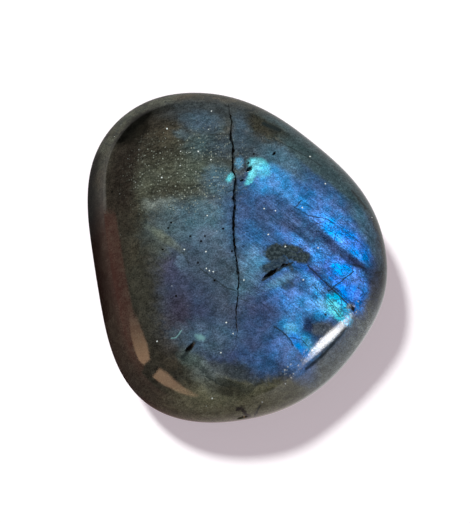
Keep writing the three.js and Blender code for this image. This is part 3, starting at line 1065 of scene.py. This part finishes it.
def emitter(name, colour):
    material, graph, surface = empty_material(name)
    glow = graph.add("Emission", Color=colour, Strength=1.0)
    graph.feed(surface, glow.outputs[0])
    return material


def seen_only_by(obj, *rays):
    for ray in ("camera", "diffuse", "glossy", "transmission", "volume_scatter", "shadow"):
        setattr(obj, f"visible_{ray}", ray in rays)


def add_object(name, mesh, material):
    mesh.materials.append(material)
    obj = bpy.data.objects.new(name, mesh)
    bpy.context.collection.objects.link(obj)
    return obj


def make_object(name, vertices, faces, material):
    mesh = bpy.data.meshes.new(name)
    mesh.from_pydata(vertices, [], faces)
    return add_object(name, mesh, material)


def make_card(name, stations, distance=CARD_DISTANCE, soft=CARD_SOFTNESS):
    """A glowing card around the stone, seen only in its polish.

    Each station is an azimuth, the elevations of the lower and the upper edge, and the glow there.
    """
    corners = []
    glows = []
    for azimuth, low, high, glow in stations:
        turn = math.radians(azimuth)
        for elevation, share in ((low - soft, 0.0), (low, 1.0), (high, 1.0), (high + soft, 0.0)):
            rise = math.radians(elevation)
            level = distance * math.cos(rise)
            corners.append((level * math.cos(turn), level * math.sin(turn), distance * math.sin(rise)))
            glows.append((*glow, share))
    row = 4  # the corners of one station
    faces = [
        (here, here + 1, here + row + 1, here + row)
        for station in range(len(stations) - 1)
        for here in range(station * row, station * row + row - 1)
    ]
    card = make_object(name, corners, faces, stored_glow(name))
    store_glow(card, glows)
    seen_only_by(card, "glossy")


def store_glow(obj, glows):
    """Stores a colour and a cover for each corner of a glowing object."""
    tint = obj.data.attributes.new("glow", "FLOAT_COLOR", "POINT")
    tint.data.foreach_set("color", [part for glow in glows for part in glow])


def stored_glow(name):
    """A glow whose colour and cover are stored in the mesh."""
    material, graph, surface = empty_material(name)
    stored = graph.add("Attribute", {"attribute_name": "glow"})
    glow = graph.add("Emission", Color=stored.outputs["Color"], Strength=1.0)
    cover = graph.add("MixShader", Fac=stored.outputs["Alpha"])
    graph.feed(cover.inputs[1], graph.add("BsdfTransparent").outputs[0])
    graph.feed(cover.inputs[2], glow.outputs[0])
    graph.feed(surface, cover.outputs[0])
    return material


DOME_RINGS = 24


def make_dome(name, radius, material, *rays):
    mesh = bpy.data.meshes.new(name)
    bm = bmesh.new()
    bmesh.ops.create_uvsphere(bm, u_segments=2 * DOME_RINGS, v_segments=DOME_RINGS, radius=radius)
    bm.to_mesh(mesh)
    bm.free()
    dome = add_object(name, mesh, material)
    seen_only_by(dome, *rays)


# How light the table looks in the polish, by the azimuth: close by, a little off and far off, and
# how brown it is there
TABLE_TONES = [
    (0, 0.45, 0.20, 0.14, 0.0),
    (45, 0.60, 0.34, 0.18, 0.0),
    (90, 0.35, 0.22, 0.20, 0.0),
    (120, 0.16, 0.16, 0.22, 0.1),
    (150, 0.02, 0.10, 0.40, 0.1),
    (168, 0.01, 0.10, 0.50, 0.1),
    (173, 0.01, 0.08, 0.40, 0.9),
    (200, 0.01, 0.08, 0.34, 1.0),
    (230, 0.03, 0.10, 0.20, 0.8),
    (260, 0.35, 0.07, 0.04, 0.3),
    (285, 0.70, 0.24, 0.12, 0.2),
    (305, 0.85, 0.65, 0.85, 0.0),
    (330, 0.85, 0.65, 0.85, 0.0),
    (345, 0.70, 0.45, 0.40, 0.0),
    (360, 0.45, 0.20, 0.14, 0.0),
]
TABLE_BROWN = (1.0, 0.36, 0.30)
TABLE_RINGS = (1, 20, 120)  # how far from the girdle these are seen, in millimetres
TABLE_TURN_STEP = 5
TABLE_LIFT = 0.005
TABLE_REACH = 1.5
TABLE_SURFACE = {
    "Base Color": (0.66, 0.66, 0.66, 1),
    "Roughness": 0.9,
    "Specular IOR Level": 0.0,
    "Emission Color": (0.40, 0.345, 0.375, 1),
    "Emission Strength": 1.0,
}


def make_floor():
    material = bpy.data.materials.new("white_table")
    material.use_nodes = True
    for name, value in TABLE_SURFACE.items():
        material.node_tree.nodes["Principled BSDF"].inputs[name].default_value = value
    signs = ((-1, -1), (1, -1), (1, 1), (-1, 1))
    corners = [(TABLE_REACH * x, TABLE_REACH * y, 0) for x, y in signs]
    floor = make_object("white_table", corners, [(0, 1, 2, 3)], material)
    seen_only_by(floor, "camera", "diffuse", "shadow")


def make_table_in_polish():
    """The table as the polish shows it, just above the white one."""
    turns = np.arange(0, 360, TABLE_TURN_STEP)
    azimuths, *tones, brown = zip(*TABLE_TONES)
    brown = np.interp(turns, azimuths, brown)[:, None]
    tint = 1 - brown * (1 - np.array(TABLE_BROWN))
    edge = around_ring(GIRDLE_RADII, np.radians(turns))
    rings = [edge + gap for gap in TABLE_RINGS]
    reaches = (0 * edge, *rings, 0 * edge + TABLE_REACH / MM)
    corners = []
    glows = []
    for reach, tone in zip(reaches, (tones[0], *tones, tones[-1])):
        shown = np.interp(turns, azimuths, tone)[:, None] * tint
        for turn, away, part in zip(np.radians(turns), reach, shown):
            corner = (away * math.cos(turn), away * math.sin(turn), TABLE_LIFT)
            corners.append(Vector(corner) * MM)
            glows.append((*part, 1.0))
    count = len(turns)
    faces = [
        (ring + step, ring + (step + 1) % count, ring + count + (step + 1) % count, ring + count + step)
        for ring in range(0, count * (len(reaches) - 1), count)
        for step in range(count)
    ]
    table = make_object("table_in_polish", corners, faces, stored_glow("table_in_polish"))
    store_glow(table, glows)
    seen_only_by(table, "glossy")


# The key light's direction, strength and spread, the soft fill, and the domes' glows and radii
KEY_TOWARDS = Vector((-0.50, 0.58, 1.15))
KEY_STRENGTH = 3.6
KEY_SPREAD = math.radians(8)
FILL = (0.16, 0.14, 0.15, 1)
BACKDROP = (0.9, 0.9, 0.91, 1)
BACKDROP_RADIUS = 1.4
DARK_ROOM = (0.012, 0.012, 0.012, 1)
DARK_ROOM_RADIUS = 1.3


def make_lights():
    sun = bpy.data.lights.new("key", "SUN")
    sun.energy = KEY_STRENGTH
    sun.angle = KEY_SPREAD
    key = bpy.data.objects.new("key", sun)
    key.rotation_euler = KEY_TOWARDS.to_track_quat("Z", "Y").to_euler()
    key.visible_glossy = False
    bpy.context.collection.objects.link(key)
    world = bpy.data.worlds.new("soft_fill")
    world.use_nodes = True
    world.node_tree.nodes["Background"].inputs["Color"].default_value = FILL
    bpy.context.scene.world = world
    make_dome("backdrop", BACKDROP_RADIUS, emitter("backdrop", BACKDROP), "camera")
    make_dome("dark_room", DARK_ROOM_RADIUS, emitter("dark_room", DARK_ROOM), "glossy")


# What the polish shows around the stone, each as azimuths with the elevations of the lower and the
# upper edge there, and the glow
WINDOW = [
    (316.5, 3.6, 4, (0.6, 0.6, 0.7)),
    (318.5, 3.6, 6.5, (4, 4, 4.4)),
    (320.5, 3.6, 9, (12, 12, 12.5)),
    (322.5, 3.8, 10.5, (20, 20, 20)),
    (327, 3.8, 10.5, (22, 22, 22)),
    (328.5, 4, 9, (16, 16, 16)),
    (330, 5, 6, (1, 1, 1)),
]
WINDOW_SILL = [
    (311, 1.6, 3, (0.04, 0.05, 0.08)),
    (314, 1.4, 6.6, (0.01, 0.02, 0.04)),
    (327, 1.4, 6.6, (0.01, 0.02, 0.04)),
    (329, 1.6, 5, (0.04, 0.05, 0.08)),
]
FAR_SHELF = [
    (122, -2, -1, (0.4, 0.39, 0.36)),
    (136, -2, 0.5, (0.75, 0.73, 0.68)),
    (154, -2, 2.6, (0.85, 0.83, 0.78)),
    (167, -2, 7.5, (0.9, 0.87, 0.82)),
    (170.8, -2, 6.5, (0.8, 0.7, 0.65)),
]
BROWN_WALL = [
    (171, -3, 25, (0.5, 0.14, 0.12)),
    (180, -3, 27, (0.54, 0.14, 0.12)),
    (188, -3, 27, (0.5, 0.14, 0.12)),
    (197, -3, 13, (0.5, 0.16, 0.12)),
    (211, -3, 10, (0.4, 0.16, 0.12)),
]
TAN_CHAIR = [
    (181, 20, 31, (0.9, 0.4, 0.3)),
    (188, 15, 35, (1.7, 0.95, 0.6)),
    (197, 12.5, 36, (2.9, 1.75, 1.05)),
    (204, 11, 32, (3.6, 2.15, 1.3)),
    (209, 14, 28, (3.6, 2.15, 1.3)),
]
TAN_SCREEN = [
    (221, 12.5, 32.5, (3.4, 2.1, 1.3)),
    (229.5, 14, 34, (3.4, 2.1, 1.3)),
    (238.5, 16, 30, (3.1, 1.9, 1.2)),
    (249, 13.5, 24, (2.5, 1.55, 0.95)),
    (258, 12.5, 16, (1.6, 1.0, 0.6)),
]


def make_reflections():
    make_card("window", WINDOW, distance=0.25)
    make_card("window_sill", WINDOW_SILL, distance=0.12, soft=0.8)
    make_card("far_shelf", FAR_SHELF, soft=1.0)
    make_card("brown_wall", BROWN_WALL)
    make_card("tan_chair", TAN_CHAIR, distance=0.9)
    make_card("tan_screen", TAN_SCREEN, soft=1.0)
    make_table_in_polish()


# The camera's height over the table as an angle, its distance from the place that it is aimed at,
# and the picture's height in pixels, each of which spans this much of the stone
CAMERA_ELEVATION = math.radians(75)
CAMERA_DISTANCE = 0.26
CAMERA_AIM = Vector((-0.28, -1.18, 8.81)) * MM
SENSOR_WIDTH = 36.0
PICTURE_HEIGHT = 523
PIXEL_SPAN = 0.185 * MM


def make_camera():
    data = bpy.data.cameras.new("camera")
    data.sensor_width = SENSOR_WIDTH
    data.lens = SENSOR_WIDTH * CAMERA_DISTANCE / (PIXEL_SPAN * PICTURE_HEIGHT)
    camera = bpy.data.objects.new("camera", data)
    back = Vector((0, -math.cos(CAMERA_ELEVATION), math.sin(CAMERA_ELEVATION)))
    camera.location = CAMERA_AIM + CAMERA_DISTANCE * back
    camera.rotation_euler = back.to_track_quat("Z", "Y").to_euler()
    bpy.context.collection.objects.link(camera)
    bpy.context.scene.camera = camera


make_camera()
stone = make_stone()
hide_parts(NODE)
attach(stone, "root")
make_floor()
make_lights()
make_reflections()
bpy.context.scene.view_settings.view_transform = "Standard"
